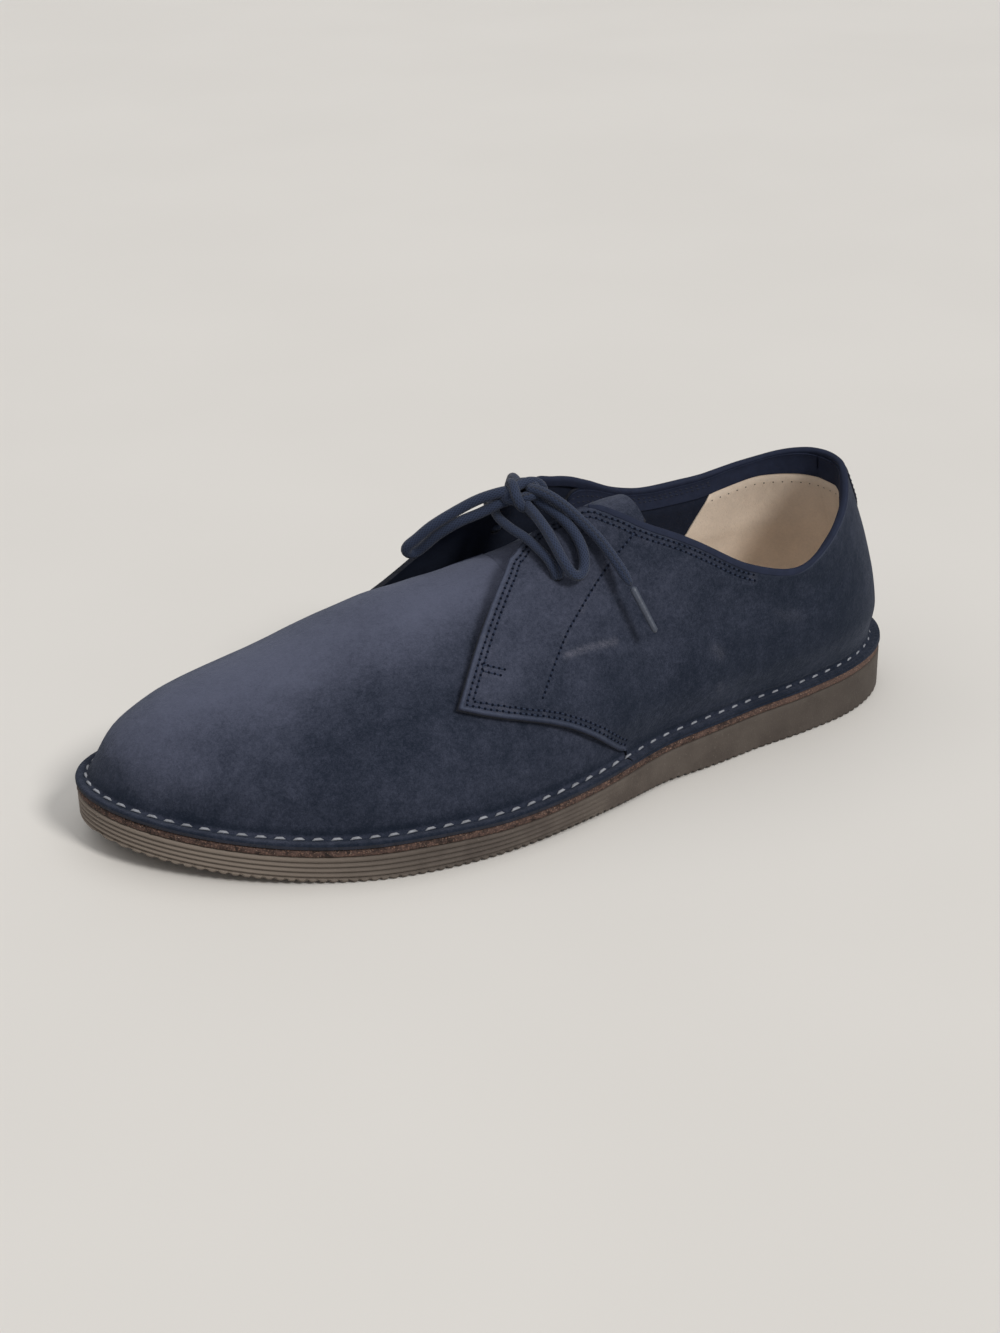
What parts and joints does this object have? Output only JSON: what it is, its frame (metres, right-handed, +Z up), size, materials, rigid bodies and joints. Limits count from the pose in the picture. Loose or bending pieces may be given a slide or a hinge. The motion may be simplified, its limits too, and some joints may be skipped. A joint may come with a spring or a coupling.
{
  "type": "suede derby shoe",
  "caption": "Left suede derby shoe with open quarters, a stitched-out edge, a thin midsole, a wedge outsole with ribbed sides and a tied lace bow.",
  "frame": {"origin": "on the ground, under the middle of the sole", "axes": "-X towards the toe, +X towards the heel, -Y towards the outer side, +Z up"},
  "size_m": [0.3023, 0.1155, 0.1031],
  "materials": {
    "suede": "matte navy suede",
    "tongue": "matte grey-blue suede",
    "binding": "smooth navy edge binding",
    "lining": "smooth beige leather",
    "midsole": "raw orange-brown edge",
    "outsole": "matte taupe rubber",
    "lace": "woven navy cord",
    "tip": "smooth dark film"
  },
  "bodies": {
    "root": {"upper": "suede", "quarter_lateral": "suede", "quarter_medial": "suede", "heel_tab": "suede", "tongue": "tongue", "collar_binding": "binding", "insole": "lining", "midsole": "midsole", "outsole": "outsole", "lace_bars": "lace", "lace_knot": "lace", "lace_loop_lateral": "lace", "lace_loop_medial": "lace", "lace_end_lateral": "lace", "lace_end_medial": "lace", "lace_tip_lateral": "tip", "lace_tip_medial": "tip"}
  },
  "joints": []
}
